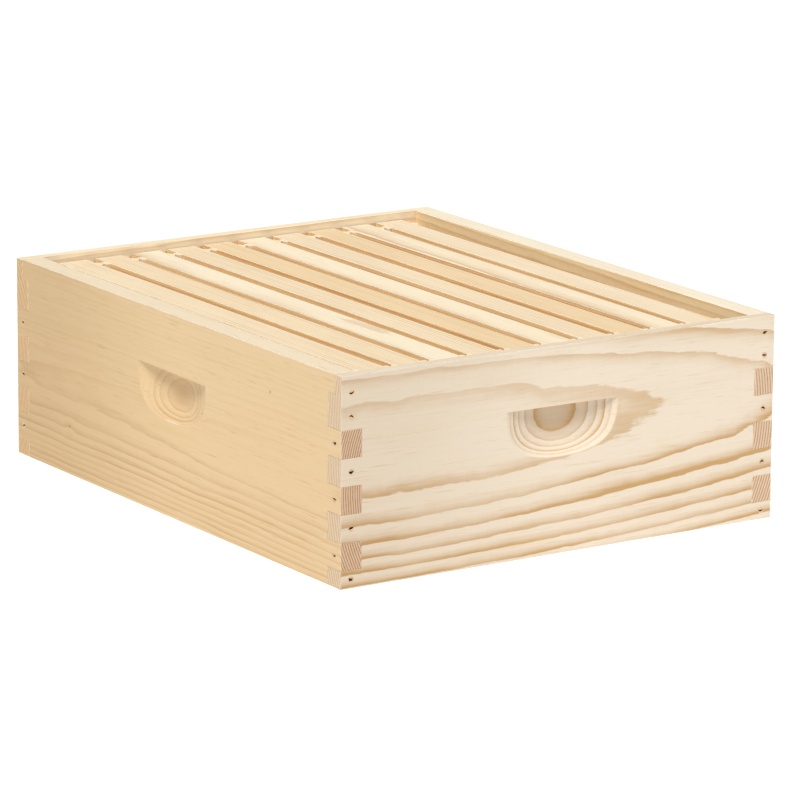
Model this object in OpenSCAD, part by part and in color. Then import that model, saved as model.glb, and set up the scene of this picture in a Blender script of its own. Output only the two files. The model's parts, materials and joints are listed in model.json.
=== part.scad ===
// Medium hive body (honey super) with hanging Hoffman frames, millimetres, +Z up.
// Origin: middle of the body's footprint, on its bottom edge. +X runs across the frames,
// +Y along them. The front board is at -Y, the left board at -X.

/* [Hive body] */
// Outside length, along the frames
hive_l = 504.8; // [430:0.1:620]
// Outside height of the boards
hive_h = 168.3; // [136:0.1:300]
// Thickness of all four boards
board_t = 19; // [15:0.1:24]

/* [Corner finger joints] */
// Height of the end boards' top finger
top_finger_h = 42.9; // [36:0.1:60]
// Height of each finger below it
finger_h = 22.2; // [16:0.1:30]

/* [Frame rest] */
// Width of the step that the frame lugs rest on
rabbet_w = 9.5; // [7:0.1:11]
// Depth of that step below the rim
rabbet_d = 15.9; // [12:0.1:20]

/* [Handholds] */
// Width of the scooped handhold along its straight top edge
hand_w = 106; // [80:1:140]
// Height of the handhold
hand_h = 41.4; // [30:0.1:55]
// Depth of the scoop under its top edge
hand_depth = 12.7; // [8:0.1:13]
// Distance from the rim down to the handhold's top edge
hand_drop = 48; // [44:0.5:75]
// How square the handhold's lower corners are (2 is an ellipse)
hand_round = 2.8; // [2:0.1:4]

/* [Corner nails] */
// Diameter of the nail heads
nail_head_d = 5; // [4:0.1:7]
// Thickness of the nail heads
nail_head_t = 1; // [0.6:0.1:1.5]
// How far the heads are driven below the wood
nail_set = 0.8; // [0:0.1:1.5]
// Diameter of the nail shanks
nail_shank_d = 2.6; // [2:0.1:3.5]
// Length of the nails
nail_l = 50; // [40:1:60]
// Slack round a nail in its hole, on the radius
nail_slack = 0.02; // [0.02:0.01:0.05]
// Distance from the rim to the first nail in the top finger
nail_first = 13.7; // [10:0.1:16]
// Distance from the rim to the second nail in the top finger
nail_second = 32.4; // [24:0.1:33]

/* [Frame spacing] */
// Number of frames hanging in the body
frame_count = 10; // [2:1:11]
// Width across the frame shoulders, which sets the spacing
shoulder_w = 34.9; // [29:0.1:42]
// Gap between the shoulders of neighbouring frames
frame_gap = 0.35; // [0.3:0.05:1]
// Room between the outer frames and the side boards
side_room = 11.3; // [4:0.1:20]
// Gap between each end of a top bar and the lip of the end board
lug_end_gap = 1.6; // [0.8:0.1:3]
// Bee space between the end bars and the end boards
end_space = 7.9; // [6:0.1:9]
// Bee space between the bottom of the frames and the bottom edge of the body
bottom_space = 3.2; // [1:0.1:8]

/* [Top bars] */
// Width of the top bars
bar_w = 27; // [22:0.1:28.8]
// Thickness of the top bars between the end bars
bar_t = 19; // [14:0.1:24]
// Thickness of the lugs that rest on the step
lug_t = 9.5; // [7:0.1:11.5]
// Depth of the notch for an end bar in each side of a top bar
notch_d = 2.4; // [1.5:0.1:4]
// Depth of the foundation groove in the top bar
top_groove_d = 6.4; // [3:0.1:8]

/* [End bars] */
// Thickness of the end bars
end_bar_t = 9.5; // [7:0.1:12]
// Width of the end bars below their shoulders
waist_w = 28.5; // [24:0.1:28.8]
// Length of the wide shoulders, from the top
shoulder_h = 66; // [40:1:80]
// Radius of the curve from shoulder to waist
waist_r = 20; // [8:1:30]
// Width of the flat left on the pointed shoulder edge
vee_land = 1.6; // [1:0.1:4]

/* [Bottom bars] */
// Width of the bottom bars
bottom_bar_w = 19; // [14:0.1:23]
// Thickness of the bottom bars
bottom_bar_t = 9.5; // [7:0.1:12]
// Depth of the foundation groove in the bottom bar
bottom_groove_d = 3.2; // [2:0.1:5]

/* [Foundation] */
// Thickness of the foundation sheets
sheet_t = 1.6; // [1:0.1:2.5]
// Slack of a sheet in its grooves, on each side
sheet_slack = 0.8; // [0.2:0.1:1.2]
// Gap above a sheet in the top bar's groove
sheet_top_gap = 0.8; // [0.3:0.1:2]
// Gap between a sheet's ends and the end bars
sheet_end_gap = 3.4; // [1:0.1:6]

/* [Hidden] */
BODY_PIECES = ["front_board", "back_board", "left_board", "right_board", "corner_nails"];
FRAME_PIECES = ["top_bar", "front_end_bar", "back_end_bar", "bottom_bar", "foundation"];

PINE_LIGHT = [0.93, 0.85, 0.72];
PINE_WARM = [0.87, 0.74, 0.55];
PINE_BAR = [0.91, 0.81, 0.64];
STEEL = [0.55, 0.53, 0.50];
BEESWAX = [0.93, 0.76, 0.30];

cut = 2;                                 // how far a cutter runs past the face it enters

// The body is as wide as its row of frames, the room beside them and two side boards.
frame_pitch = shoulder_w + frame_gap;
hive_w = frame_count * frame_pitch - frame_gap + 2 * side_room + 2 * board_t;
lip_t = board_t - rabbet_w;              // end board left outside the step

// Corner joints: the last finger takes up what the full ones leave.
finger_n = round((hive_h - top_finger_h) / finger_h);
side_fingers = [0 : 2 : finger_n - 1];
end_fingers = [1 : 2 : finger_n - 1];

// Frames hang by their lugs from the step, and reach down to the bottom bee space.
step_z = hive_h - rabbet_d;
bar_top_z = step_z + lug_t;
bar_under_z = bar_top_z - bar_t;
top_bar_l = hive_l - 2 * (lip_t + lug_end_gap);
frame_l = hive_l - 2 * (board_t + end_space);
frame_h = bar_top_z - bottom_space;
neck_w = bar_w - 2 * notch_d;            // top bar between the ears of an end bar
bottom_bar_top_z = bottom_space + bottom_bar_t;
groove_w = sheet_t + 2 * sheet_slack;
sheet_foot_z = bottom_bar_top_z - bottom_groove_d;
sheet_head_z = bar_under_z + top_groove_d - sheet_top_gap;
sheet_l = frame_l - 2 * (end_bar_t + sheet_end_gap);

// Corner nails stand in the middle of the board behind them, and of each finger.
nail_inset = board_t / 2;
end_nail_z = concat([hive_h - nail_first, hive_h - nail_second],
                    [for (i = end_fingers) finger_middle(i)]);
side_nail_z = [for (i = side_fingers) finger_middle(i)];

// The scoop is turned about an upright axis in front of the board, so its floor is an
// arc in plan, and its profile gives the handhold's outline on the board's face.
scoop_steps = 12;
scoop_axis = (pow(hand_w / 2, 2) - pow(hand_depth, 2)) / (2 * hand_depth);

function frame_node(i, piece) = str("frame_", i, "_", piece);
function frame_x(i) = (i - (frame_count + 1) / 2) * frame_pitch;
function finger_top(i) = hive_h - top_finger_h - i * finger_h;
function finger_bottom(i) = i == finger_n - 1 ? 0 : finger_top(i + 1);
function finger_middle(i) = (finger_top(i) + finger_bottom(i)) / 2;
function hand_half_w(drop) =
    hand_w / 2 * pow(max(0, 1 - pow(drop / hand_h, hand_round)), 1 / hand_round);
function scoop_point(step) =
    let (drop = hand_h * sin(90 * step / scoop_steps))
    [norm([hand_half_w(drop), scoop_axis]), -drop];

module block(size, centre_xy, z) {
    translate([centre_xy[0] - size[0] / 2, centre_xy[1] - size[1] / 2, z]) cube(size);
}

// Cutter for a handhold: its flat top is the finger ledge. The upright axis of the scoop
// is the Z axis, and the board's face is scoop_axis away from it.
module scoop_cutter() {
    rim = [for (step = [0 : scoop_steps - 1]) scoop_point(step)];
    last = rim[scoop_steps - 1];
    run_out = 2 * scoop_point(scoop_steps) - last;
    rotate_extrude($fn = 180)
        polygon(concat([[0, 0]], rim, [run_out, [0, run_out[1]]]));
}

module nail(slack = 0) {
    point_l = 1.5 * nail_shank_d;
    $fn = 24;
    translate([0, 0, -nail_set - nail_head_t])
        cylinder(h = nail_head_t + (slack > 0 ? nail_set + cut : 0), d = nail_head_d + 2 * slack);
    translate([0, 0, -nail_l + point_l])
        cylinder(h = nail_l - point_l - nail_set - nail_head_t / 2, d = nail_shank_d + 2 * slack);
    translate([0, 0, -nail_l - slack])
        cylinder(h = point_l + slack, d1 = 0.6 + 2 * slack, d2 = nail_shank_d + 2 * slack);
}

// Nails that enter the front board's face, near both of its ends.
module at_front_nails() {
    for (side = [-1, 1]) for (z = end_nail_z)
        translate([side * (hive_w / 2 - nail_inset), -hive_l / 2, z])
            rotate([90, 0, 0]) children();
}

// Nails that enter the left board's face, near both of its ends.
module at_left_nails() {
    for (end = [-1, 1]) for (z = side_nail_z)
        translate([-hive_w / 2, end * (hive_l / 2 - nail_inset), z])
            rotate([0, -90, 0]) children();
}

// The opposite board is the same board turned half round.
module opposite() {
    rotate([0, 0, 180]) children();
}

// Every corner nail, from all four faces.
module at_all_nails() {
    at_front_nails() children();
    at_left_nails() children();
    opposite() at_front_nails() children();
    opposite() at_left_nails() children();
}

module front_board() {
    color(PINE_LIGHT) difference() {
        block([hive_w, board_t, hive_h], [0, -(hive_l - board_t) / 2], 0);
        block([hive_w + 2 * cut, rabbet_w + cut, rabbet_d + cut],
              [0, -hive_l / 2 + lip_t + (rabbet_w + cut) / 2], step_z);
        for (side = [-1, 1]) for (i = side_fingers) {
            foot = finger_bottom(i) == 0 ? -cut : finger_bottom(i);
            block([board_t + cut, board_t + 2 * cut, finger_top(i) - foot],
                  [side * (hive_w - board_t + cut) / 2, -(hive_l - board_t) / 2], foot);
        }
        translate([0, -hive_l / 2 - scoop_axis, hive_h - hand_drop]) scoop_cutter();
        at_front_nails() nail(nail_slack);
        at_left_nails() nail(nail_slack);
        opposite() at_left_nails() nail(nail_slack);
    }
}

module left_board() {
    color(PINE_WARM) difference() {
        union() {
            block([board_t, hive_l - 2 * board_t, hive_h], [-(hive_w - board_t) / 2, 0], 0);
            block([board_t, hive_l - 2 * lip_t, rabbet_d], [-(hive_w - board_t) / 2, 0], step_z);
            for (i = side_fingers)
                block([board_t, hive_l, finger_top(i) - finger_bottom(i)],
                      [-(hive_w - board_t) / 2, 0], finger_bottom(i));
        }
        translate([-hive_w / 2 - scoop_axis, 0, hive_h - hand_drop]) scoop_cutter();
        at_left_nails() nail(nail_slack);
        at_front_nails() nail(nail_slack);
        opposite() at_front_nails() nail(nail_slack);
    }
}

module back_board() {
    opposite() front_board();
}

module right_board() {
    opposite() left_board();
}

module corner_nails() {
    color(STEEL) at_all_nails() nail();
}

// Full thickness between the end bars, thin lugs beyond them, notched at both sides for
// the ears of the end bars, and grooved underneath for the foundation.
module top_bar() {
    color(PINE_BAR) difference() {
        union() {
            block([bar_w, frame_l, bar_t], [0, 0], bar_under_z);
            block([bar_w, top_bar_l, lug_t], [0, 0], step_z);
        }
        for (side = [-1, 1]) for (end = [-1, 1])
            block([notch_d + cut, end_bar_t, bar_t + 2 * cut],
                  [side * (neck_w + notch_d + cut) / 2, end * (frame_l - end_bar_t) / 2],
                  bar_under_z - cut);
        block([groove_w, frame_l + 2 * cut, top_groove_d + cut], [0, 0], bar_under_z - cut);
    }
}

// Side view of an end bar: wide shoulders, then a curve in to the waist.
module end_bar_outline() {
    shoulder_z = frame_h - shoulder_h;
    difference() {
        translate([-shoulder_w / 2, 0]) square([shoulder_w, frame_h]);
        for (side = [-1, 1]) {
            cut_w = shoulder_w - waist_w;
            translate([side * (waist_w / 2 + waist_r), shoulder_z - waist_r])
                circle(r = waist_r, $fn = 96);
            translate([side * (waist_w + cut_w) / 2, (shoulder_z - waist_r) / 2])
                square([cut_w, shoulder_z - waist_r + 2 * cut], center = true);
        }
    }
}

// Plan of an end bar: square on one edge, brought to a narrow land on the other, so that
// bees can't glue neighbouring shoulders flat together.
module end_bar_plan() {
    edge = shoulder_w / 2;
    vee = (shoulder_w - waist_w) / 2;
    polygon([[-edge, -vee_land / 2], [-edge + vee, -end_bar_t / 2], [edge, -end_bar_t / 2],
             [edge, end_bar_t / 2], [-edge + vee, end_bar_t / 2], [-edge, vee_land / 2]]);
}

module front_end_bar() {
    color(PINE_BAR) translate([0, -(frame_l - end_bar_t) / 2, bottom_space]) difference() {
        intersection() {
            translate([0, end_bar_t / 2, 0]) rotate([90, 0, 0])
                linear_extrude(end_bar_t) end_bar_outline();
            linear_extrude(frame_h) end_bar_plan();
        }
        block([neck_w, end_bar_t + 2 * cut, bar_t + cut], [0, 0], frame_h - bar_t);
        block([bottom_bar_w, end_bar_t + 2 * cut, bottom_bar_t + cut], [0, 0], -cut);
    }
}

module back_end_bar() {
    opposite() front_end_bar();
}

module bottom_bar() {
    color(PINE_BAR) difference() {
        block([bottom_bar_w, frame_l, bottom_bar_t], [0, 0], bottom_space);
        block([groove_w, frame_l + 2 * cut, bottom_groove_d + cut], [0, 0], sheet_foot_z);
    }
}

module foundation() {
    color(BEESWAX) block([sheet_t, sheet_l, sheet_head_z - sheet_foot_z], [0, 0], sheet_foot_z);
}

module in_place(i) {
    translate([frame_x(i), 0, 0]) children();
}

front_board();
back_board();
left_board();
right_board();
corner_nails();
for (i = [1 : frame_count]) {
    in_place(i) top_bar();
    in_place(i) front_end_bar();
    in_place(i) back_end_bar();
    in_place(i) bottom_bar();
    in_place(i) foundation();
}
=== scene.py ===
"""Looks of the beehive super: bare pine with growth rings, softened arrises, nails and wax foundation."""

import json
import math
import random

import bmesh
import bpy
from mathutils import Matrix, Vector

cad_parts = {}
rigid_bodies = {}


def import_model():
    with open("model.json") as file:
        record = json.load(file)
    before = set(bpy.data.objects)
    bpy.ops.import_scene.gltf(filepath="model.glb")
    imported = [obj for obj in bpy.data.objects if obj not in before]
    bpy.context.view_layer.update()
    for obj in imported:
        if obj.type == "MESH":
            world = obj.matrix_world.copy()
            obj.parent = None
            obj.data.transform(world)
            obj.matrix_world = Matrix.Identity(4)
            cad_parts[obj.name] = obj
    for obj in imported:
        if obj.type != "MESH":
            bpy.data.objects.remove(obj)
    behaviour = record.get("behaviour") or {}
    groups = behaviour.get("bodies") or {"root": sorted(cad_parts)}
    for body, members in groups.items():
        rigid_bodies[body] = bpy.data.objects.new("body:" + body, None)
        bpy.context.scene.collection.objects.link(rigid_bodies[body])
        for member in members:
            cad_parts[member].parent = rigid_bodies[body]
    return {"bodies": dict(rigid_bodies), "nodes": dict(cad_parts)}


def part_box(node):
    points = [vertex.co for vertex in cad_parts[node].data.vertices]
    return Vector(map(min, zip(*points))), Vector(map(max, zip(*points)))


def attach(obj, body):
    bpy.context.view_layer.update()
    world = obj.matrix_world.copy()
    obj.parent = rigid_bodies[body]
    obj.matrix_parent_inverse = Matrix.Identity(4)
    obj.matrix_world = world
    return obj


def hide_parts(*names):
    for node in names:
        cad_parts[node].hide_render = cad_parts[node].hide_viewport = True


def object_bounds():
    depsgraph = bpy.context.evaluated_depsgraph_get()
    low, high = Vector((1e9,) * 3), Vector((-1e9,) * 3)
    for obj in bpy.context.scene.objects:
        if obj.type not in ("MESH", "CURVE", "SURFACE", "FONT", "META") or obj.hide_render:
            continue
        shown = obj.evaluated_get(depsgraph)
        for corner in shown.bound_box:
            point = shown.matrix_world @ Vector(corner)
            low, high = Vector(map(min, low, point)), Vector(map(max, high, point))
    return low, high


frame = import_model()
CAD_LOW, CAD_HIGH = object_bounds()

MM = 0.001
FRAME_COUNT = sum(1 for body in frame["bodies"] if body.startswith("frame_"))
SAME_PLACE = 0.002 * MM              # vertices of the CAD meshes this close are one


# ---------------------------------------------------------------- small helpers

def srgb(red, green, blue):
    """A display colour, 0 to 255 a channel, as the linear colour that shaders use."""
    def linear(value):
        value /= 255
        return value / 12.92 if value <= 0.04045 else ((value + 0.055) / 1.055) ** 2.4
    return (linear(red), linear(green), linear(blue), 1.0)


class Graph:
    """Builds shader nodes. node gives the node, feed fills a socket, and the rest give output sockets."""

    def __init__(self, tree):
        self.tree = tree

    def node(self, kind, **settings):
        node = self.tree.nodes.new(kind)
        for name, value in settings.items():
            setattr(node, name, value)
        return node

    def feed(self, socket, value):
        if isinstance(value, bpy.types.NodeSocket):
            self.tree.links.new(value, socket)
        else:
            socket.default_value = value

    def math(self, operation, *values):
        node = self.node("ShaderNodeMath", operation=operation)
        for socket, value in zip(node.inputs, values):
            self.feed(socket, value)
        return node.outputs[0]

    def smooth(self, value, low, high):
        """0 below low, 1 above high, smooth between; low may be the larger."""
        node = self.node("ShaderNodeMapRange", interpolation_type="SMOOTHSTEP")
        for name, entry in (("Value", value), ("From Min", low), ("From Max", high)):
            self.feed(node.inputs[name], entry)
        return node.outputs[0]

    def vector(self, x, y, z):
        node = self.node("ShaderNodeCombineXYZ")
        for socket, value in zip(node.inputs, (x, y, z)):
            self.feed(socket, value)
        return node.outputs[0]

    def split(self, vector):
        node = self.node("ShaderNodeSeparateXYZ")
        self.feed(node.inputs[0], vector)
        return node.outputs[0], node.outputs[1], node.outputs[2]

    def vector_math(self, operation, *values):
        node = self.node("ShaderNodeVectorMath", operation=operation)
        for socket, value in zip(node.inputs, values):
            self.feed(socket, value)
        return node.outputs["Vector"]

    def noise(self, vector, detail=2.0, roughness=0.5):
        node = self.node("ShaderNodeTexNoise")
        self.feed(node.inputs["Vector"], vector)
        node.inputs["Scale"].default_value = 1.0
        node.inputs["Detail"].default_value = detail
        node.inputs["Roughness"].default_value = roughness
        return node.outputs["Fac"]

    def random(self, value):
        node = self.node("ShaderNodeTexWhiteNoise", noise_dimensions="1D")
        self.feed(node.inputs["W"], value)
        return node.outputs["Value"]

    def mix(self, factor, first, second, blend="MIX"):
        node = self.node("ShaderNodeMix", data_type="RGBA", blend_type=blend)
        self.feed(node.inputs[0], factor)
        self.feed(node.inputs[6], first)
        self.feed(node.inputs[7], second)
        return node.outputs[2]

    def ramp(self, factor, *stops):
        """stops are (position, value) pairs of a grey curve."""
        node = self.node("ShaderNodeValToRGB")
        elements = node.color_ramp.elements
        while len(elements) < len(stops):
            elements.new(0.5)
        for element, (position, value) in zip(elements, stops):
            element.position = position
            element.color = (value, value, value, 1.0)
        self.feed(node.inputs[0], factor)
        return node.outputs[0]


# ---------------------------------------------------------------- pine

GRAIN_INPUTS = (
    ("Along", "NodeSocketFloat"),        # metres along the trunk
    ("Across", "NodeSocketFloat"),       # metres across the board's face, from where the pith lies
    ("Depth", "NodeSocketFloat"),        # metres in from the bark-side face
    ("End grain", "NodeSocketFloat"),    # 1 where the surface is cut across the trunk
    ("Edge", "NodeSocketFloat"),         # 1 on the board's arrises
    ("Pith distance", "NodeSocketFloat"),
    ("Ring width", "NodeSocketFloat"),
    ("Phase", "NodeSocketFloat"),
    ("Drift", "NodeSocketFloat"),        # rings gained for each metre along the trunk
    ("Bend", "NodeSocketFloat"),         # rings gained for each square metre along the trunk
    ("Warp", "NodeSocketFloat"),         # how strong the slow bends of the rings are
    ("Contrast", "NodeSocketFloat"),
    ("Upper fade", "NodeSocketFloat"),   # contrast lost above the pith's height
    ("Plain until", "NodeSocketFloat"),  # how far into its growth the face's first ring stays plain
    ("Crown", "NodeSocketFloat"),        # how late the late wood starts where rings lie flat in the face
    ("Scoop lines", "NodeSocketFloat"),  # contrast gained where a cut goes well under the face
    ("Falloff shade", "NodeSocketFloat"),    # painted shade: how much darker the face is at one end, where the light falls off
    ("Falloff shade from", "NodeSocketFloat"),
    ("Falloff shade to", "NodeSocketFloat"),
    ("Side tone", "NodeSocketColor"),    # tints the sawn sides
    ("Side", "NodeSocketFloat"),         # 1 on those sides
    ("Knot size", "NodeSocketFloat"),    # metres across a pin knot; 0 for clear wood
    ("Seed", "NodeSocketFloat"),
    ("Early wood", "NodeSocketColor"),
    ("Late wood", "NodeSocketColor"),
    ("End early", "NodeSocketColor"),
    ("End late", "NodeSocketColor"),
)
GRAIN_OUTPUTS = (
    ("Colour", "NodeSocketColor"),
    ("Roughness", "NodeSocketFloat"),
    ("Height", "NodeSocketFloat"),
)
SEED_STEP = 7.31                     # metres of wood between one seed and the next

# Noise in the wood: cells a metre along, across and in depth, then its detail and roughness
BENDS = ((5.5, 20, 20), 2.0, 0.5)
RIPPLES = ((30, 34, 34), 3.0, 0.55)
RAGS = ((26, 330, 330), 2.0, 0.6)
BLOTCHES = ((7, 26, 26), 3.0, 0.55)
PATCHES = ((9, 30, 30), 2.0, 0.5)
STREAKS = ((9, 420, 420), 4.0, 0.62)
FIBRES = ((45, 2300, 2300), 2.0, 0.6)
FLECKS = ((34, 760, 760), 2.0, 0.6)
MINERALS = ((11, 90, 90), 2.0, 0.5)
SAW_MARKS = ((900, 14, 14), 2.0, 0.6)
PORES = ((150, 1500, 1500), 2.0, 0.6)
RAYS = ((60, 240, 1900), 2.0, 0.6)
# The last noise breaks up the painted highlight on the arrises
EDGE_HIGHLIGHT_NOISE = ((60, 260, 260), 2.0, 0.5)

# How far each noise swings what it acts on: rings for the first three, late wood for the next three,
# and the end grain's dark lines for the last two
SWING = dict(bends=1.3, ripples=0.3, rags=0.16, blotches=0.3, streaks=0.3, saw_marks=0.1,
             pores=0.7, rays=0.45)

# Late wood through a ring's growth, on the face and on the end grain
FACE_CURVE = ((0.0, 0.0), (0.28, 0.03), (0.62, 0.36), (0.86, 0.86), (0.955, 1.0), (0.995, 0.0))
END_CURVE = ((0.0, 0.0), (0.45, 0.1), (0.75, 0.65), (0.93, 1.0), (0.99, 0.0))
END_STRENGTH = 0.9

# Ring numbers grow away from the pith: about 0 at the face's middle, negative under the face
FIRST_RING = (-0.35, 0.0)            # where the face's first ring takes over
SECOND_RING = (0.98, 1.02)
UNDER_FACE = (-0.8, -1.5)
HEARTWOOD_RINGS = (-3.1, -4.3)
HEARTWOOD = 0.4                      # how much tanner the wood is there
PLAIN_FADE = 0.4                     # rings that late wood takes to come in after a plain start
CROWN_REACH = (60 * MM, 5 * MM)      # where rings lie flat in the face, from the pith's height
CROWN_SOFTENING = -0.12              # times Crown: the late wood lost inside a crown
UPPER_REACH = 30 * MM                # over which Upper fade comes in

# Weakest ring, and how much stronger a ring may be; the same for patches along a ring
RING_STRENGTH = (0.62, 0.5)
PATCH_STRENGTH = (0.6, 0.45)

# Where a mark starts and is whole in its noise, and how strong it is
PATCH_RANGE = (0.3, 0.6)
FIBRE_RANGE = (0.62, 0.86)
FIBRE_DEPTH = 0.55
FLECK_RANGE = (0.58, 0.8)
FLECK_DEPTH = 0.38
MINERAL_RANGE = (0.64, 0.78)
MINERAL_DEPTH = 0.4
# A painted highlight on the arrises: where it starts and is whole in its noise, and how strong it is
EDGE_HIGHLIGHT_RANGE = (0.25, 0.7)
EDGE_HIGHLIGHT_STRENGTH = 0.3
EDGE_HIGHLIGHT_PALENESS = 0.6                   # how far the painted highlight on the arrises goes from early wood towards its pale colour

KNOTS_A_METRE = 6.5
NO_KNOT = 1e-6                       # least radius, so that clear wood doesn't divide by zero
KNOT_CORE = (1.15, 0.75)             # in knot radii
KNOT_SWIRL = (9.0, 0.5)              # where a knot pushes the rings aside
KNOT_PUSH = 0.3                      # by how many rings
KNOT_DEPTH = 0.5                     # how dark it is

MINERAL = srgb(216, 190, 134)
KNOT = srgb(150, 104, 62)
FALLOFF_SHADE_TINT = (0.83, 0.8, 0.76, 1.0)        # multiplies the colour where one end of a face is painted darker, as shade where the light falls off
# the pale colour of the painted highlight on the arrises
EDGE_HIGHLIGHT_COLOUR = (1, 0.97, 0.9, 1)

# Roughness of early wood, and what the rest adds to it; then parts of the bump's height
ROUGHNESS = dict(early=0.64, late=-0.08, streaks=0.12, end=0.22)
HEIGHT = dict(late=0.45, fibres=0.5, streaks=0.35, pores=1.3)


class PineGrain(Graph):
    """The steps that work the wood out, in the order that make_grain_group takes them."""

    def __init__(self, tree):
        super().__init__(tree)
        self.given = self.node("NodeGroupInput").outputs
        self.result = self.node("NodeGroupOutput").inputs
        self.seed = self.math("MULTIPLY", self.given["Seed"], SEED_STEP)
        place = self.vector(self.given["Along"], self.given["Across"], self.given["Depth"])
        self.here = self.vector_math("ADD", place, self.vector(self.seed, self.seed, self.seed))
        self.streaks = self.wood_noise(STREAKS)
        self.fibres = self.wood_noise(FIBRES)
        self.pores = self.wood_noise(PORES)

    def wood_noise(self, kind):
        cells, detail, roughness = kind
        return self.noise(self.vector_math("MULTIPLY", self.here, cells), detail, roughness)

    def swing(self, value, amount):
        """A noise as a swing of that much about 0."""
        return self.math("MULTIPLY", self.math("SUBTRACT", value, 0.5), amount)

    def one_minus(self, value):
        return self.math("SUBTRACT", 1.0, value)

    def count_rings(self):
        """How many rings lie between a point and the middle of the face."""
        given = self.given
        to_pith = self.math("SUBTRACT", given["Pith distance"], given["Depth"])
        across = given["Across"]
        square = self.math("MULTIPLY_ADD", to_pith, to_pith, self.math("MULTIPLY", across, across))
        outwards = self.math("SUBTRACT", self.math("SQRT", square), given["Pith distance"])
        rings = self.math("DIVIDE", outwards, given["Ring width"])
        slope = self.math("MULTIPLY_ADD", given["Along"], given["Bend"], given["Drift"])
        rings = self.math("ADD", rings, self.math("MULTIPLY_ADD", given["Along"], slope, given["Phase"]))
        bends = self.swing(self.wood_noise(BENDS), SWING["bends"])
        rings = self.math("MULTIPLY_ADD", bends, given["Warp"], rings)
        rings = self.math("ADD", rings, self.swing(self.wood_noise(RIPPLES), SWING["ripples"]))
        self.rings = self.math("ADD", rings, self.swing(self.wood_noise(RAGS), SWING["rags"]))

    def add_knots(self):
        """Pin knots push the rings aside."""
        cells = self.node("ShaderNodeTexVoronoi", voronoi_dimensions="2D", feature="F1")
        cells.inputs["Scale"].default_value = 1.0
        place = self.vector_math("MULTIPLY", self.here, (KNOTS_A_METRE, KNOTS_A_METRE, 0.0))
        self.feed(cells.inputs["Vector"], place)
        radius = self.math("MULTIPLY", self.given["Knot size"], KNOTS_A_METRE / 2)
        reach = self.math("DIVIDE", cells.outputs["Distance"], self.math("MAXIMUM", radius, NO_KNOT))
        self.rings = self.math("MULTIPLY_ADD", self.smooth(reach, *KNOT_SWIRL), KNOT_PUSH, self.rings)
        self.knot = self.smooth(reach, *KNOT_CORE)

    def grade_late_wood(self):
        """Pale early wood darkens slowly into late wood, and the next ring starts at once."""
        given, rings = self.given, self.rings
        flat = self.smooth(self.math("ABSOLUTE", given["Across"]), *CROWN_REACH)
        flat = self.math("MULTIPLY", flat, given["Crown"])
        outer = self.smooth(rings, *SECOND_RING)
        exponent = self.math("MULTIPLY_ADD", flat, outer, 1.0)
        self.part = self.math("POWER", self.math("FRACT", rings), exponent)
        softening = self.math("MULTIPLY", flat, self.one_minus(outer))
        softening = self.math("MULTIPLY", softening, CROWN_SOFTENING)

        ring_random = self.random(self.math("ADD", self.math("FLOOR", rings), self.seed))
        least, spread = RING_STRENGTH
        strength = self.math("MULTIPLY_ADD", ring_random, spread, least)
        late_start = self.smooth(rings, given["Plain until"],
                                 self.math("ADD", given["Plain until"], PLAIN_FADE))
        plain = self.math("MULTIPLY", self.smooth(rings, *FIRST_RING), self.one_minus(late_start))
        strength = self.math("MULTIPLY", strength, self.one_minus(plain))
        strength = self.math("MULTIPLY", strength, self.math("ADD", softening, 1.0))
        least, spread = PATCH_STRENGTH
        patch = self.smooth(self.wood_noise(PATCHES), *PATCH_RANGE)
        strength = self.math("MULTIPLY", strength, self.math("MULTIPLY_ADD", patch, spread, least))

        upper = self.math("MULTIPLY", self.smooth(given["Across"], 0.0, UPPER_REACH), given["Upper fade"])
        contrast = self.math("MULTIPLY", given["Contrast"], self.one_minus(upper))
        under_face = self.smooth(rings, *UNDER_FACE)
        contrast = self.math("MULTIPLY_ADD", under_face, given["Scoop lines"], contrast)
        late = self.math("MULTIPLY", self.ramp(self.part, *FACE_CURVE), strength)
        late = self.math("MULTIPLY", late, contrast)
        blotches = self.swing(self.wood_noise(BLOTCHES), SWING["blotches"])
        late = self.math("MULTIPLY_ADD", blotches, given["Contrast"], late)
        late = self.math("MULTIPLY_ADD", self.smooth(rings, *HEARTWOOD_RINGS), HEARTWOOD, late)
        late = self.math("ADD", late, self.swing(self.streaks, SWING["streaks"]))
        late = self.math("ADD", late, self.swing(self.wood_noise(SAW_MARKS), SWING["saw_marks"]))
        self.late = self.math("MAXIMUM", late, 0.0)

    def paint_face(self):
        """Rings, with fine fibres, flecks, mineral streaks and knots over them."""
        late_wood = self.given["Late wood"]
        face = self.mix(self.late, self.given["Early wood"], late_wood)
        darker = self.mix(FIBRE_DEPTH, face, late_wood)
        face = self.mix(self.smooth(self.fibres, *FIBRE_RANGE), face, darker)
        flecks = self.smooth(self.wood_noise(FLECKS), *FLECK_RANGE)
        face = self.mix(self.math("MULTIPLY", flecks, FLECK_DEPTH), face, late_wood)
        minerals = self.smooth(self.wood_noise(MINERALS), *MINERAL_RANGE)
        face = self.mix(self.math("MULTIPLY", minerals, MINERAL_DEPTH), face, MINERAL)
        return self.mix(self.math("MULTIPLY", self.knot, KNOT_DEPTH), face, KNOT)

    def paint_end(self):
        """End grain: narrower dark lines, with pores and rays."""
        amount = self.math("MULTIPLY", self.ramp(self.part, *END_CURVE), END_STRENGTH)
        amount = self.math("ADD", amount, self.swing(self.pores, SWING["pores"]))
        amount = self.math("ADD", amount, self.swing(self.wood_noise(RAYS), SWING["rays"]))
        amount = self.math("MINIMUM", self.math("MAXIMUM", amount, 0.0), 1.0)
        return self.mix(amount, self.given["End early"], self.given["End late"])

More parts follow.
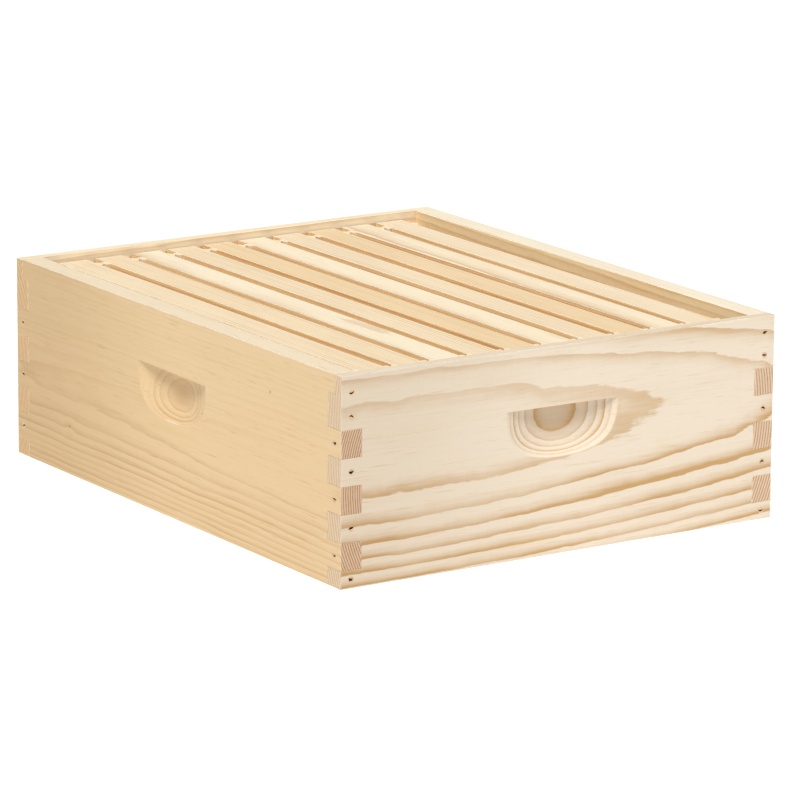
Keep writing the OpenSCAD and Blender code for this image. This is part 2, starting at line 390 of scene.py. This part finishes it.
    def paint_light_and_tone(self, colour):
        """Arrises get a painted highlight, one end of the face gets painted shade where the light falls
        off, and the sawn sides have a tone.
        """
        given = self.given
        # Painted highlight: the arrises are painted paler, where light would catch them
        edge_highlight = self.math("MULTIPLY", given["Edge"], self.smooth(self.wood_noise(EDGE_HIGHLIGHT_NOISE), *EDGE_HIGHLIGHT_RANGE))
        edge_highlight_colour = self.mix(EDGE_HIGHLIGHT_PALENESS, given["Early wood"], EDGE_HIGHLIGHT_COLOUR)
        colour = self.mix(self.math("MULTIPLY", edge_highlight, EDGE_HIGHLIGHT_STRENGTH), colour, edge_highlight_colour)
        # Painted shade: one end of the face is painted darker, where the light falls off across it
        falloff_shade = self.smooth(given["Along"], given["Falloff shade from"], given["Falloff shade to"])
        falloff_shade = self.math("MULTIPLY", falloff_shade, given["Falloff shade"])
        falloff_shade = self.math("MULTIPLY", falloff_shade, self.one_minus(given["Side"]))
        colour = self.mix(falloff_shade, colour, self.mix(1.0, colour, FALLOFF_SHADE_TINT, blend="MULTIPLY"))
        toned = self.mix(1.0, colour, given["Side tone"], blend="MULTIPLY")
        return self.mix(given["Side"], colour, toned)

    def set_surface(self):
        end_grain = self.given["End grain"]
        roughness = self.math("MULTIPLY_ADD", self.late, ROUGHNESS["late"], ROUGHNESS["early"])
        roughness = self.math("ADD", roughness, self.swing(self.streaks, ROUGHNESS["streaks"]))
        roughness = self.math("MULTIPLY_ADD", end_grain, ROUGHNESS["end"], roughness)
        self.feed(self.result["Roughness"], roughness)
        height = self.math("MULTIPLY", self.late, HEIGHT["late"])
        height = self.math("MULTIPLY_ADD", self.fibres, HEIGHT["fibres"], height)
        height = self.math("MULTIPLY_ADD", self.streaks, HEIGHT["streaks"], height)
        pores = self.math("MULTIPLY", self.pores, HEIGHT["pores"])
        self.feed(self.result["Height"], self.math("MULTIPLY_ADD", end_grain, pores, height))


def make_grain_group():
    """Growth rings are shells about the pith, so one group gives the flat-sawn figure, the lines inside
    the scoops and the end grain."""
    group = bpy.data.node_groups.new("pine_grain", "ShaderNodeTree")
    for name, kind in GRAIN_INPUTS:
        group.interface.new_socket(name, in_out="INPUT", socket_type=kind)
    for name, kind in GRAIN_OUTPUTS:
        group.interface.new_socket(name, in_out="OUTPUT", socket_type=kind)
    grain = PineGrain(group)
    grain.count_rings()
    grain.add_knots()
    grain.grade_late_wood()
    colour = grain.mix(grain.given["End grain"], grain.paint_face(), grain.paint_end())
    grain.feed(grain.result["Colour"], grain.paint_light_and_tone(colour))
    grain.set_surface()
    return group


GRAIN = make_grain_group()
AXES = "XYZ"
FACES_AXIS = (0.72, 0.93)            # a normal's part along an axis, from not facing it to facing it
ARRIS_REACH = 1.6 * MM
WOOD_GLOSS = 0.18                    # specular level
NO_TINT = (1.0, 1.0, 1.0, 1.0)
# no painted shade at either end of the face
NO_FALLOFF_SHADE = (0.0, 0.0, 1.0)

# Display colours of the wood, before light falls on it
CREAM = dict(early=srgb(227, 213, 193), late=srgb(193, 155, 104))
HONEY = dict(early=srgb(224, 196, 154), late=srgb(176, 132, 80))
AMBER = dict(early=srgb(251, 232, 192), late=srgb(226, 180, 112))
IVORY = dict(early=srgb(247, 233, 205), late=srgb(214, 172, 124))
BRUISED = dict(early=srgb(222, 190, 152), late=srgb(156, 114, 78))
BAR_PALE = srgb(241, 227, 200)
BAR_TAN = srgb(236, 211, 171)
BAR_LATE = srgb(192, 148, 96)
END_GRAIN = dict(early=srgb(212, 180, 148), late=srgb(112, 72, 48))
GREY_END = dict(early=srgb(222, 194, 164), late=srgb(142, 104, 78))
PALE_END = dict(early=srgb(239, 218, 188), late=srgb(184, 148, 112))
EAR_END = dict(early=srgb(248, 231, 200), late=srgb(218, 184, 142))
TAN_END = dict(early=srgb(222, 190, 148), late=srgb(160, 118, 76))

# What multiplies the colour on sawn sides: the bars' flanks and the boards' rims
BAR_SIDE = (1.12, 0.99, 0.76, 1.0)
RIGHT_RIM = (0.92, 1.02, 1.3, 1.0)
LEFT_RIM = (1.09, 1.25, 1.58, 1.0)
BACK_RIM = (1.0, 1.01, 1.03, 1.0)


def edge_mask(g, position, low, high):
    """1 where two of a box's faces are close, which is along its arrises."""
    gaps = []
    for value, near, far in zip(g.split(position), low, high):
        middle, half = (near + far) / 2, (far - near) / 2
        offset = g.math("ABSOLUTE", g.math("SUBTRACT", value, middle))
        gaps.append(g.math("SUBTRACT", half, offset))
    a, b, c = gaps
    second = g.math("MAXIMUM", g.math("MINIMUM", a, b),
                    g.math("MINIMUM", g.math("MAXIMUM", a, b), c))
    return g.smooth(second, ARRIS_REACH, 0.0)


def facing(g, normal):
    """1 where the surface faces along an axis, either way; normal is its part along that axis."""
    return g.smooth(g.math("ABSOLUTE", normal), *FACES_AXIS)


def add_bump(g, shader, height, strength, distance):
    bump = g.node("ShaderNodeBump")
    bump.inputs["Strength"].default_value = strength
    bump.inputs["Distance"].default_value = distance
    g.feed(bump.inputs["Height"], height)
    g.feed(shader.inputs["Normal"], bump.outputs["Normal"])


def new_material(name):
    """A material, the graph that builds it, its shader and its texture coordinates."""
    material = bpy.data.materials.new(name)
    material.use_nodes = True
    g = Graph(material.node_tree)
    place = g.node("ShaderNodeTexCoord")
    return material, g, material.node_tree.nodes["Principled BSDF"], place


def pine(name, low, high, along, across, depth, depth_face, across_middle, pith, ring,
         phase=0.0, drift=0.0, bend=0.0, warp=1.0, contrast=1.0, seed=0.0,
         tone=CREAM, end=END_GRAIN, upper_fade=0.0, plain_until=0.0,
         crown=0.0, scoop_lines=0.0, falloff_shade=NO_FALLOFF_SHADE, side_tone=NO_TINT, knot=0.0):
    """A board's own pine. along, across and depth name the row axes, and depth's sign says which way the
    wood lies from depth_face, its bark side: "+Y" is towards +Y. The painted shade that darkens one end
    of the face, where the light falls off, is given as how much, from and to."""
    material, g, shader, place = new_material(name)
    axes = dict(zip(AXES, g.split(place.outputs["Object"])))
    normals = dict(zip(AXES, g.split(place.outputs["Normal"])))
    sign = 1 if depth[0] == "+" else -1
    grain = g.node("ShaderNodeGroup", node_tree=GRAIN)
    values = {
        "Along": axes[along],
        "Across": g.math("SUBTRACT", axes[across], across_middle),
        "Depth": g.math("MULTIPLY", g.math("SUBTRACT", axes[depth[1]], depth_face), sign),
        "End grain": facing(g, normals[along]),
        "Edge": edge_mask(g, place.outputs["Object"], low, high),
        "Pith distance": pith, "Ring width": ring, "Phase": phase, "Drift": drift, "Bend": bend,
        "Warp": warp, "Contrast": contrast, "Knot size": knot, "Seed": seed,
        "Upper fade": upper_fade, "Plain until": plain_until, "Crown": crown, "Side tone": side_tone,
        "Scoop lines": scoop_lines, "Falloff shade": falloff_shade[0],
        "Falloff shade from": falloff_shade[1], "Falloff shade to": falloff_shade[2],
        "Side": facing(g, normals[across]),
        "Early wood": tone["early"], "Late wood": tone["late"],
        "End early": end["early"], "End late": end["late"],
    }
    for socket, value in values.items():
        g.feed(grain.inputs[socket], value)
    shader.inputs["Specular IOR Level"].default_value = WOOD_GLOSS
    g.feed(shader.inputs["Base Color"], grain.outputs["Colour"])
    g.feed(shader.inputs["Roughness"], grain.outputs["Roughness"])
    add_bump(g, shader, grain.outputs["Height"], strength=0.5, distance=0.25 * MM)
    return material


def dress(node, material):
    """Gives a CAD node its material."""
    mesh = frame["nodes"][node].data
    mesh.materials.clear()
    mesh.materials.append(material)
    for polygon in mesh.polygons:
        polygon.material_index = 0


SHORTEST_ARRIS = 1.2 * MM            # leaves out the rims of the nail holes
SHARP = math.cos(math.radians(35))
BOARD_ARRIS = 0.45 * MM
TOP_BAR_ARRIS = 0.4 * MM
THIN_BAR_ARRIS = 0.3 * MM


def mark_arrises(mesh):
    """Weights the sharp edges for the bevel. The mesh comes as loose triangles, so edges are matched
    by place."""
    def place(index):
        return tuple(round(value / SAME_PLACE) for value in mesh.vertices[index].co)

    normals = {}
    for polygon in mesh.polygons:
        for a, b in polygon.edge_keys:
            normals.setdefault(frozenset((place(a), place(b))), []).append(polygon.normal.copy())
    weights = mesh.attributes.new("bevel_weight_edge", "FLOAT", "EDGE")
    for edge in mesh.edges:
        a, b = edge.vertices
        sides = normals[frozenset((place(a), place(b)))]
        length = (mesh.vertices[a].co - mesh.vertices[b].co).length
        sharp = any(sides[0].dot(other) < SHARP for other in sides[1:])
        weights.data[edge.index].value = 1.0 if sharp and length > SHORTEST_ARRIS else 0.0


def soften(node, width):
    """Rounds a CAD node's arrises a little, as sanding does."""
    piece = frame["nodes"][node]
    mark_arrises(piece.data)
    weld = piece.modifiers.new("weld", "WELD")
    weld.merge_threshold = SAME_PLACE
    bevel = piece.modifiers.new("arris", "BEVEL")
    bevel.width = width
    bevel.segments = 2
    bevel.limit_method = "WEIGHT"
    bevel.use_clamp_overlap = False
    bevel.harden_normals = True


def make_board_materials():
    front_low, front_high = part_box("front_board")
    back_low, back_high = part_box("back_board")
    left_low, left_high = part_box("left_board")
    right_low, right_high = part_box("right_board")
    # The front and left boards are painted darker towards one end, as shade where the light falls off
    dress("front_board", pine(
        "front_pine", front_low, front_high, "X", "Z", "+Y", front_low.y, across_middle=107 * MM,
        pith=413 * MM, ring=2.35 * MM, phase=0.55, drift=3.7, bend=11.0, warp=0.25, contrast=1.28,
        seed=1.0, end=PALE_END, upper_fade=0.42, plain_until=0.5, crown=2.5,
        falloff_shade=(0.7, 0.02, -0.19)))
    dress("back_board", pine(
        "back_pine", back_low, back_high, "X", "Z", "-Y", back_high.y, across_middle=70 * MM,
        pith=260 * MM, ring=2.4 * MM, phase=0.3, drift=-2.2, bend=4.0, warp=0.6, contrast=0.9, seed=2.0,
        tone=IVORY, end=TAN_END, side_tone=BACK_RIM, knot=3 * MM))
    dress("left_board", pine(
        "left_pine", left_low, left_high, "Y", "Z", "+X", left_low.x, across_middle=75 * MM,
        pith=140 * MM, ring=2.1 * MM, phase=0.4, drift=1.6, warp=0.8, contrast=0.42, seed=3.0, tone=HONEY,
        upper_fade=0.75, plain_until=0.6, scoop_lines=0.45, falloff_shade=(1.0, -0.03, 0.23),
        side_tone=LEFT_RIM, knot=2.6 * MM))
    dress("right_board", pine(
        "right_pine", right_low, right_high, "Y", "Z", "-X", right_high.x, across_middle=95 * MM,
        pith=190 * MM, ring=2.6 * MM, phase=0.1, drift=-2.6, warp=0.7, contrast=0.8, seed=4.0, tone=AMBER,
        end=GREY_END, side_tone=RIGHT_RIM, knot=4 * MM))
    for board in ("front_board", "back_board", "left_board", "right_board"):
        soften(board, BOARD_ARRIS)


# How tan each top bar is, from pale (0) to tan (1), counted from the left board
BAR_SHADES = (0.35, 0.5, 0.0, 0.4, 0.95, 0.05, 0.3, 0.9, 0.1, 0.15)

# How a bar is sawn, and how far aside of its middle the pith lay
RIFT_SAWN = dict(pith=34 * MM, ring=2.4 * MM, contrast=0.62)
RIFT_ASIDE = 38 * MM
FLAT_SAWN = dict(pith=130 * MM, ring=2.2 * MM, contrast=0.6)
FLAT_ASIDE = 6 * MM

# Seeds of the pieces that there are several of; each adds its own number
BAR_SEEDS = 10.0
END_BAR_SEEDS = 30.0
FIBRE_SEEDS = 60.0


def blend_colours(first, second, part):
    return tuple(a + (b - a) * part for a, b in zip(first, second))


def make_frame_materials():
    for i in range(1, FRAME_COUNT + 1):
        bar = f"frame_{i}_top_bar"
        low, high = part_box(bar)
        middle = (low.x + high.x) / 2
        shade = BAR_SHADES[(i - 1) % len(BAR_SHADES)]
        tone = dict(early=blend_colours(BAR_PALE, BAR_TAN, shade), late=BAR_LATE)
        if i % 3:                    # rift-sawn, with close lines that fall to one side or the other
            pith_aside = RIFT_ASIDE * (-1) ** i
            sawn = RIFT_SAWN
        else:                        # flat-sawn, with a broad figure
            pith_aside = FLAT_ASIDE
            sawn = FLAT_SAWN
        material = pine(f"frame_{i}_bar_pine", low, high, "Y", "X", "-Z", high.z, middle + pith_aside,
                        phase=0.37 * i, drift=1.4 * math.sin(i), warp=0.7, seed=BAR_SEEDS + i,
                        tone=tone, side_tone=BAR_SIDE, **sawn)
        dress(bar, material)
        dress(f"frame_{i}_bottom_bar", material)
        for end in ("front", "back"):
            node = f"frame_{i}_{end}_end_bar"
            low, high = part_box(node)
            dress(node, pine(f"frame_{i}_{end}_end_pine", low, high, "Z", "X", "-Y", high.y, middle,
                             pith=90 * MM, ring=2.0 * MM, phase=0.61 * i, warp=0.6, contrast=0.5,
                             seed=END_BAR_SEEDS + i, tone=tone, end=EAR_END))
            soften(node, THIN_BAR_ARRIS)
        soften(bar, TOP_BAR_ARRIS)
        soften(f"frame_{i}_bottom_bar", THIN_BAR_ARRIS)


# ---------------------------------------------------------------- nail heads under torn fibre

FIBRE_POINTS = 24
FIBRE_PLAY = 0.01 * MM               # keeps the fibre clear of the recess's wall and the nail's head
FIBRE_TURN = 0.35                    # radians that a slit may lean

# A slit's limits, in parts of the fibre's radius
SLIT_HALF_LENGTH = (0.9, 0.97)
SLIT_HALF_HEIGHT = (0.3, 0.46)
SLIT_BOW = (-0.5, 0.5)
SLIT_SUNK = (0.04, 0.14)

# How uneven its outline is, and how much narrower it is at the bottom
SLIT_REACH = (0.95, 1.01)
SLIT_RAGS = (0.8, 1.2)
SLIT_TAPER = 0.97


def find_nails():
    """Each corner nail's low and high corners, from the islands of the CAD node."""
    mesh = bmesh.new()
    mesh.from_mesh(frame["nodes"]["corner_nails"].data)
    bmesh.ops.remove_doubles(mesh, verts=mesh.verts, dist=SAME_PLACE)
    left = set(mesh.verts)
    nails = []
    while left:
        island, edge = set(), [left.pop()]
        while edge:
            vertex = edge.pop()
            island.add(vertex)
            for link in vertex.link_edges:
                other = link.other_vert(vertex)
                if other in left:
                    left.remove(other)
                    edge.append(other)
        corners = [[pick(v.co[axis] for v in island) for axis in range(3)] for pick in (min, max)]
        nails.append((Vector(corners[0]), Vector(corners[1])))
    mesh.free()
    return sorted(nails, key=lambda nail: tuple(nail[0]))


def add_torn_fibre(mesh, centre, outward, radius, depth, dice):
    """Wood fibre closed over a sunk head, but for a ragged slit: a ring nearly as thick as the recess
    is deep."""
    up = Vector((0, 0, 1))
    sideways = up.cross(outward).normalized()
    turn = dice.uniform(-FIBRE_TURN, FIBRE_TURN)
    across = sideways * math.cos(turn) + up * math.sin(turn)
    upright = up * math.cos(turn) - sideways * math.sin(turn)
    half_length = radius * dice.uniform(*SLIT_HALF_LENGTH)
    half_height = radius * dice.uniform(*SLIT_HALF_HEIGHT)
    bow = radius * dice.uniform(*SLIT_BOW)
    loops = {"outer_top": [], "inner_top": [], "inner_low": [], "outer_low": []}
    for i in range(FIBRE_POINTS):
        angle = 2 * math.pi * i / FIBRE_POINTS
        rim = (sideways * math.cos(angle) + up * math.sin(angle)) * radius
        # the slit's own axes are turned a little against the rim's, so its angle is measured back
        c, w = math.cos(angle - turn), math.sin(angle - turn)
        reach = half_length * dice.uniform(*SLIT_REACH)
        rise = w * half_height * dice.uniform(*SLIT_RAGS) + bow * (c * c - 0.5)
        slit = across * c * reach + upright * rise
        sunk = outward * radius * dice.uniform(*SLIT_SUNK)
        loops["outer_top"].append(mesh.verts.new(centre + rim))
        loops["inner_top"].append(mesh.verts.new(centre + slit - sunk))
        loops["inner_low"].append(mesh.verts.new(centre + slit * SLIT_TAPER - outward * depth))
        loops["outer_low"].append(mesh.verts.new(centre + rim - outward * depth))
    order = ("outer_top", "inner_top", "inner_low", "outer_low", "outer_top")
    for first, second in zip(order, order[1:]):
        for i in range(FIBRE_POINTS):
            j = (i + 1) % FIBRE_POINTS
            mesh.faces.new((loops[first][i], loops[first][j], loops[second][j], loops[second][i]))


def add_piece(name, mesh, body, material):
    """Makes an object from a bmesh, riding on a body."""
    bmesh.ops.recalc_face_normals(mesh, faces=mesh.faces)
    data = bpy.data.meshes.new(name)
    mesh.to_mesh(data)
    mesh.free()
    data.materials.append(material)
    piece = bpy.data.objects.new(name, data)
    bpy.context.scene.collection.objects.link(piece)
    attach(piece, body)


def cover_nail_heads():
    """One piece of bruised, torn fibre for each board."""
    outward = {"front_board": (1, -1), "back_board": (1, 1), "left_board": (0, -1), "right_board": (0, 1)}
    nails = find_nails()
    for board, (axis, sign) in outward.items():
        dice = random.Random(board)
        low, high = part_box(board)
        face = (high if sign > 0 else low)[axis]
        direction = Vector([sign if i == axis else 0 for i in range(3)])
        mesh = bmesh.new()
        for nail_low, nail_high in nails:
            head = (nail_high if sign > 0 else nail_low)[axis]
            length = nail_high[axis] - nail_low[axis]
            across = nail_high.z - nail_low.z
            # leave out nails that lie across this axis, and those in the board opposite
            if length < 2 * across or abs(face - head) > across:
                continue
            centre = (nail_low + nail_high) / 2
            centre[axis] = face
            radius, recess = across / 2, abs(face - head)
            add_torn_fibre(mesh, centre, direction, radius - FIBRE_PLAY, recess - FIBRE_PLAY, dice)
        along, depth = ("X", "+Y") if axis == 1 else ("Y", "+X")
        # the figure is centred on the height of the board's last nail
        bruised = pine(f"{board}_bruised_pine", low, high, along, "Z", depth, face, centre.z,
                       pith=300 * MM, ring=1.2 * MM, contrast=0.6, seed=FIBRE_SEEDS + face, tone=BRUISED)
        add_piece(f"{board}_torn_fibre", mesh, "hive_body", bruised)


BARE_STEEL = srgb(40, 30, 22)
BROWN_RUST = srgb(56, 30, 15)
DARK_RUST = srgb(24, 14, 8)
RUST_RANGE = (0.42, 0.62)            # where rust starts and is whole in its noise
STEEL_METALLIC = 0.6                 # bare, and then what rust adds
RUST_METALLIC = -0.5
STEEL_ROUGHNESS = 0.55
RUST_ROUGHNESS = 0.25


def make_rusty_steel():
    material, g, shader, place = new_material("rusty_steel")
    here = place.outputs["Object"]
    coarse = g.noise(g.vector_math("MULTIPLY", here, (900, 900, 900)), detail=4.0, roughness=0.6)
    fine = g.noise(g.vector_math("MULTIPLY", here, (5200, 5200, 5200)), detail=2.0, roughness=0.6)
    rust = g.smooth(coarse, *RUST_RANGE)
    g.feed(shader.inputs["Base Color"], g.mix(rust, BARE_STEEL, g.mix(fine, BROWN_RUST, DARK_RUST)))
    metallic = g.math("MULTIPLY_ADD", rust, RUST_METALLIC, STEEL_METALLIC)
    g.feed(shader.inputs["Metallic"], metallic)
    roughness = g.math("MULTIPLY_ADD", rust, RUST_ROUGHNESS, STEEL_ROUGHNESS)
    g.feed(shader.inputs["Roughness"], roughness)
    add_bump(g, shader, g.math("ADD", rust, fine), strength=0.4, distance=0.1 * MM)
    return material


# ---------------------------------------------------------------- wax foundation

CELL_PITCH = 5.3 * MM                # across the flats of a worker cell
WALL_RATIO = 0.84                    # cell floor's size beside the cell's
CELL_FLOOR = 0.34                    # heights in parts of the sheet's half thickness
CELL_PIT = 0.1
ROOT_3 = math.sqrt(3)
ROW_STEP = 1.5                       # cell radii between one row of cells and the next
POINT_GRID = 0.01 * MM               # points that neighbouring cells share are matched on this grid
ON_MIDDLE = 1e-9                     # metres from the sheet's middle plane
JOIN_REACH = 1e-7                    # metres apart at which two points of the seam are one


def build_cells(mesh, length, height, half):
    """One face of the sheet: hexagonal cells with raised walls and a floor of three rhombs."""
    radius = CELL_PITCH / ROOT_3
    made = {}

    def vertex(y, z, level):
        key = (round(y / POINT_GRID), round(z / POINT_GRID), level)
        if key not in made:
            made[key] = mesh.verts.new((level * half, y, z))
        return made[key]

    columns = math.ceil(length / CELL_PITCH / 2) + 1
    rows = math.ceil(height / (ROW_STEP * radius) / 2) + 1
    for row in range(-rows, rows + 1):
        for column in range(-columns, columns + 1):
            y = (column + 0.5 * (row % 2)) * CELL_PITCH
            z = row * ROW_STEP * radius
            rim, base = [], []
            for i in range(6):
                angle = math.radians(60 * i + 30)
                dy, dz = radius * math.cos(angle), radius * math.sin(angle)
                rim.append(vertex(y + dy, z + dz, 1.0))
                base.append(vertex(y + WALL_RATIO * dy, z + WALL_RATIO * dz, CELL_FLOOR))
            pit = vertex(y, z, CELL_PIT)
            for i in range(6):
                j = (i + 1) % 6
                mesh.faces.new((rim[i], rim[j], base[j], base[i]))
            for i in (0, 2, 4):
                mesh.faces.new((base[i], base[i + 1], base[(i + 2) % 6], pit))


def whole(mesh):
    return mesh.verts[:] + mesh.edges[:] + mesh.faces[:]


def points(geometry):
    """The vertices among what a bmesh operation made."""
    return [item for item in geometry if isinstance(item, bmesh.types.BMVert)]


def build_foundation(length, height, thickness):
    """The whole sheet about its own centre, cut square and closed at its edges."""
    mesh = bmesh.new()
    build_cells(mesh, length, height, thickness / 2)
    for axis, reach in ((1, length / 2), (2, height / 2)):
        for sign in (-1, 1):
            direction = Vector([sign if i == axis else 0 for i in range(3)])
            bmesh.ops.bisect_plane(mesh, geom=whole(mesh), plane_co=direction * reach,
                                   plane_no=direction, clear_outer=True)
    rims = [edge for edge in mesh.edges if edge.is_boundary]
    skirt = bmesh.ops.extrude_edge_only(mesh, edges=rims)
    for point in points(skirt["geom"]):
        point.co.x = 0
    double = bmesh.ops.duplicate(mesh, geom=whole(mesh))
    for point in points(double["geom"]):
        point.co.x = -point.co.x
    seam = [point for point in mesh.verts if abs(point.co.x) < ON_MIDDLE]
    bmesh.ops.remove_doubles(mesh, verts=seam, dist=JOIN_REACH)
    bmesh.ops.recalc_face_normals(mesh, faces=mesh.faces)
    data = bpy.data.meshes.new("foundation")
    mesh.to_mesh(data)
    mesh.free()
    return data


DEEP_WAX = srgb(232, 187, 98)
LIGHT_WAX = srgb(239, 199, 115)
WAX_BLOOM = srgb(246, 228, 180)
CLOUD_RANGE = (0.3, 0.7)             # where each starts and is whole in its noise
BLOOM_RANGE = (0.52, 0.8)
BLOOM_STRENGTH = 0.45
WAX_ROUGHNESS = 0.32                 # clean, and then what bloom adds
BLOOM_ROUGHNESS = 0.3
WAX_GLOSS = 0.4                      # specular level


def make_wax():
    material, g, shader, place = new_material("wax")
    here = place.outputs["Object"]
    cloud = g.noise(g.vector_math("MULTIPLY", here, (14, 14, 30)), detail=4.0, roughness=0.6)
    bloom = g.noise(g.vector_math("MULTIPLY", here, (420, 420, 420)), detail=3.0, roughness=0.6)
    colour = g.mix(g.smooth(cloud, *CLOUD_RANGE), DEEP_WAX, LIGHT_WAX)
    pale = g.math("MULTIPLY", g.smooth(bloom, *BLOOM_RANGE), BLOOM_STRENGTH)
    g.feed(shader.inputs["Base Color"], g.mix(pale, colour, WAX_BLOOM))
    roughness = g.math("MULTIPLY_ADD", bloom, BLOOM_ROUGHNESS, WAX_ROUGHNESS)
    g.feed(shader.inputs["Roughness"], roughness)
    shader.inputs["Specular IOR Level"].default_value = WAX_GLOSS
    add_bump(g, shader, bloom, strength=0.3, distance=0.1 * MM)
    return material


def make_foundations():
    """Ten pieces of one mesh, because the sheets are the same size."""
    low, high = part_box("frame_1_foundation")
    size = high - low
    mesh = build_foundation(size.y, size.z, size.x)
    mesh.materials.append(make_wax())
    for i in range(1, FRAME_COUNT + 1):
        node = f"frame_{i}_foundation"
        low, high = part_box(node)
        sheet = bpy.data.objects.new(f"frame_{i}_wax_sheet", mesh)
        sheet.location = (low + high) / 2
        bpy.context.scene.collection.objects.link(sheet)
        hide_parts(node)
        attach(sheet, f"frame_{i}")


make_board_materials()
make_frame_materials()
dress("corner_nails", make_rusty_steel())
cover_nail_heads()
make_foundations()


# ---------------------------------------------------------------- camera, floor and light

# The photo's viewpoint, fitted to the box's corners: degrees, metres and, for the lens, millimetres
CAMERA_AZIMUTH = -33.361
CAMERA_ELEVATION = 13.684
CAMERA_DISTANCE = 4.330887
CAMERA_ROLL = 0.429
CAMERA_LENS = 236.06
CAMERA_SENSOR = 36
CAMERA_CLIP_END = 50
CAMERA_TARGET = Vector((0.013201, 0.0, 0.06985))

SUN_COLOUR = (1.0, 0.985, 0.96)
SKY_COLOUR = (1.0, 1.0, 1.0, 1)
SKY_STRENGTH = 0.38
FLOOR_HALF_SIZE = 12.0
FLOOR_CORNERS = ((-1, -1), (1, -1), (1, 1), (-1, 1))
FLOOR_DROP = 0.1 * MM                # keeps it clear of the box's bottom faces
FLOOR_GREY = (0.5, 0.5, 0.5, 1)
FLOOR_GLOW = (1, 1, 1, 1)
FLOOR_GLOW_STRENGTH = 0.64           # with the light on it, white in the picture
FLOOR_ROUGHNESS = 0.9


def towards(azimuth, elevation):
    """Unit vector from the object; azimuth 0 is the front side, and grows towards +X."""
    a, e = math.radians(azimuth), math.radians(elevation)
    return Vector((math.sin(a) * math.cos(e), -math.cos(a) * math.cos(e), math.sin(e)))


def looking(direction):
    """Rotation of a camera or light that sits in that direction and faces the object."""
    return direction.to_track_quat("Z", "Y")


def make_camera():
    data = bpy.data.cameras.new("camera")
    data.sensor_width = CAMERA_SENSOR
    data.lens = CAMERA_LENS
    data.clip_end = CAMERA_CLIP_END
    camera = bpy.data.objects.new("camera", data)
    bpy.context.scene.collection.objects.link(camera)
    back = towards(CAMERA_AZIMUTH, CAMERA_ELEVATION)
    turn = looking(back) @ Matrix.Rotation(math.radians(CAMERA_ROLL), 3, "Z").to_quaternion()
    camera.location = CAMERA_TARGET + back * CAMERA_DISTANCE
    camera.rotation_euler = turn.to_euler()
    bpy.context.scene.camera = camera


def add_sun(name, azimuth, elevation, strength, spread):
    """strength is what it adds to a white surface that faces it; angles are in degrees."""
    data = bpy.data.lights.new(name, "SUN")
    data.energy = strength * math.pi
    data.angle = math.radians(spread)
    data.color = SUN_COLOUR
    light = bpy.data.objects.new(name, data)
    bpy.context.scene.collection.objects.link(light)
    light.rotation_euler = looking(towards(azimuth, elevation)).to_euler()


def make_floor():
    """A pale floor, clear from below so that the underside of the object can be seen."""
    level = CAD_LOW[2] - FLOOR_DROP
    corners = [(x * FLOOR_HALF_SIZE, y * FLOOR_HALF_SIZE, level) for x, y in FLOOR_CORNERS]
    mesh = bpy.data.meshes.new("floor")
    mesh.from_pydata(corners, [], [(0, 1, 2, 3)])
    floor = bpy.data.objects.new("floor", mesh)
    bpy.context.scene.collection.objects.link(floor)
    material = bpy.data.materials.new("floor")
    material.use_nodes = True
    shader = material.node_tree.nodes["Principled BSDF"]
    shader.inputs["Base Color"].default_value = FLOOR_GREY
    shader.inputs["Roughness"].default_value = FLOOR_ROUGHNESS
    shader.inputs["Emission Color"].default_value = FLOOR_GLOW
    shader.inputs["Emission Strength"].default_value = FLOOR_GLOW_STRENGTH
    g = Graph(material.node_tree)
    mixed = g.node("ShaderNodeMixShader")
    g.feed(mixed.inputs[0], g.node("ShaderNodeNewGeometry").outputs["Backfacing"])
    g.feed(mixed.inputs[1], shader.outputs["BSDF"])
    g.feed(mixed.inputs[2], g.node("ShaderNodeBsdfTransparent").outputs["BSDF"])
    g.feed(material.node_tree.nodes["Material Output"].inputs["Surface"], mixed.outputs[0])
    mesh.materials.append(material)


def make_world():
    world = bpy.data.worlds.new("studio")
    world.use_nodes = True
    sky = world.node_tree.nodes["Background"]
    sky.inputs["Color"].default_value = SKY_COLOUR
    sky.inputs["Strength"].default_value = SKY_STRENGTH
    bpy.context.scene.world = world


make_camera()
make_floor()
make_world()
add_sun("right_light", azimuth=36, elevation=47, strength=0.2, spread=14)
add_sun("left_light", azimuth=-52, elevation=58, strength=0.76, spread=24)
bpy.context.scene.view_settings.view_transform = "Standard"
